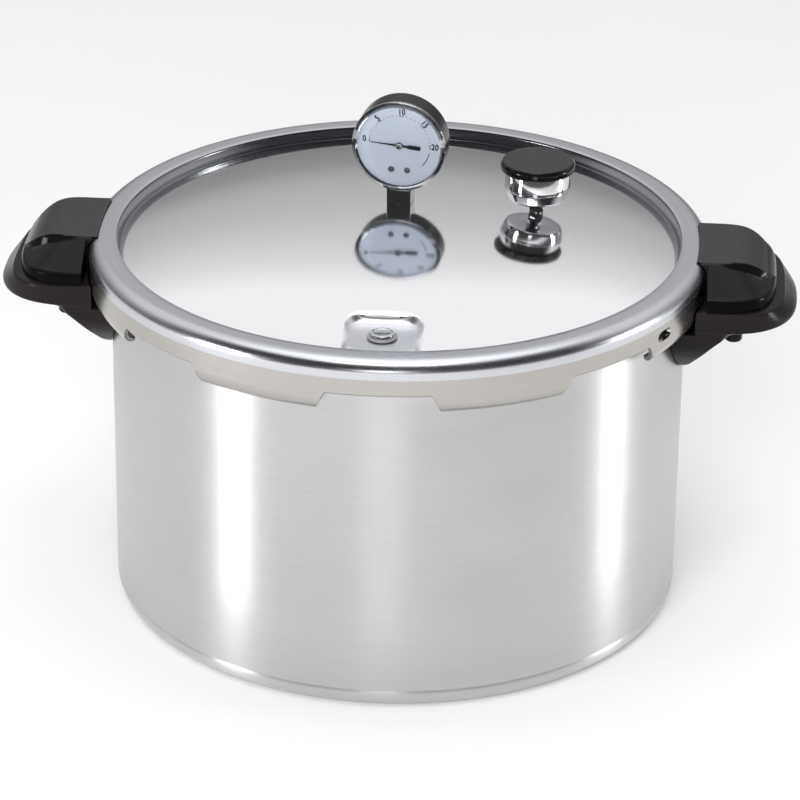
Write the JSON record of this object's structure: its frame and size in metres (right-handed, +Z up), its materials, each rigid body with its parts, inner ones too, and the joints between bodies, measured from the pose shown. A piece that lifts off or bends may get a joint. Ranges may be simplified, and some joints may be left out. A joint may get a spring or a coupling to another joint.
{
  "type": "pressure canner",
  "caption": "Stove-top pressure canner: deep drawn aluminium pot with a bayonet cover, dial gauge, dead-weight regulator, cover lock and black handles.",
  "frame": {"origin": "centre of the pot base, on the surface it stands on", "axes": "+Z up; the two handles lie on -X and +X; the cover lock is towards -Y, which is the front"},
  "size_m": [0.437, 0.34, 0.2808],
  "materials": {
    "satin_aluminium": "fine circumferential satin brushing",
    "polished_aluminium": "polished dome, satin ring and skirt",
    "phenolic": "moulded black phenolic, gloss sides and satin top",
    "rubber": "matte moulded rubber",
    "steel": "zinc-bright steel",
    "chrome": "bright plated",
    "brass": "machined",
    "dial": "matte printed face",
    "lens": "clear moulded plastic",
    "pointer": "matte black"
  },
  "bodies": {
    "canner": {"canner_body": "satin_aluminium", "locking_bracket": "steel", "body_handle_left": "phenolic", "body_handle_right": "phenolic", "body_bracket_left": "satin_aluminium", "body_bracket_right": "satin_aluminium", "body_handle_bolt_left": "steel", "body_handle_bolt_right": "steel", "body_handle_nut_left": "phenolic", "body_handle_nut_right": "phenolic"},
    "jar_rack": {"rack": "satin_aluminium"},
    "lid_seal": {"sealing_ring": "rubber"},
    "lid": {"cover": "polished_aluminium", "cover_handle_left": "phenolic", "cover_handle_right": "phenolic", "cover_handle_screw_left_1": "steel", "cover_handle_screw_left_2": "steel", "cover_handle_screw_right_1": "steel", "cover_handle_screw_right_2": "steel", "lock_gasket": "rubber", "overpressure_plug": "rubber", "vent_pipe": "chrome", "vent_nut": "steel", "gauge_case": "phenolic", "gauge_lens": "lens", "gauge_dial": "dial", "dial_screw_left": "steel", "dial_screw_right": "steel", "gauge_stem": "chrome", "gauge_seal": "rubber", "gauge_nut": "steel", "bourdon_tube": "brass", "movement_frame": "brass"},
    "regulator": {"regulator_weight": "chrome", "regulator_cap": "phenolic"},
    "cover_lock": {"lock_pin": "chrome"},
    "pointer_shaft": {"pinion_shaft": "brass", "gauge_pointer": "pointer"},
    "sector": {"sector_gear": "brass"},
    "link": {"gauge_link": "brass"}
  },
  "joints": [
    {"name": "cover_lift", "type": "slide", "parent": "canner", "child": "lid_seal", "axis": [0, 0, 1], "range_m": [0, 0.2]},
    {"name": "cover_turn", "type": "hinge", "parent": "lid_seal", "child": "lid", "pos_m": [0, 0, 0.2], "axis": [0, 0, 1], "range_deg": [0, 22.5]},
    {"name": "regulator_lift", "type": "slide", "parent": "lid", "child": "regulator", "axis": [0, 0, 1], "range_m": [0, 0.045]},
    {"name": "lock_pin_rise", "type": "slide", "parent": "lid", "child": "cover_lock", "axis": [0, 0, 1], "range_m": [0, 0.0052]},
    {"name": "sector_turn", "type": "hinge", "parent": "lid", "child": "sector", "pos_m": [-0.00792, 0.0198, 0.24488], "axis": [0.1149, 0.9934, 0], "range_deg": [-45, 0], "stiffness_Nm_per_rad": 0.0003},
    {"name": "pointer_turn", "type": "hinge", "parent": "lid", "child": "pointer_shaft", "pos_m": [-0.001, 0.019, 0.25483], "axis": [0.1149, 0.9934, 0], "range_deg": [0, 225]},
    {"name": "link_swing", "type": "hinge", "parent": "sector", "child": "link", "pos_m": [-0.01382, 0.02048, 0.24117], "axis": [0.1149, 0.9934, 0], "range_deg": [0, 45]},
    {"name": "rack_lift", "type": "slide", "parent": "canner", "child": "jar_rack", "axis": [0, 0, 1], "range_m": [0, 0.15]}
  ],
  "couplings": [
    {"joint": "pointer_turn", "follows": "sector_turn", "ratio": -5},
    {"joint": "link_swing", "follows": "sector_turn", "ratio": -1}
  ]
}
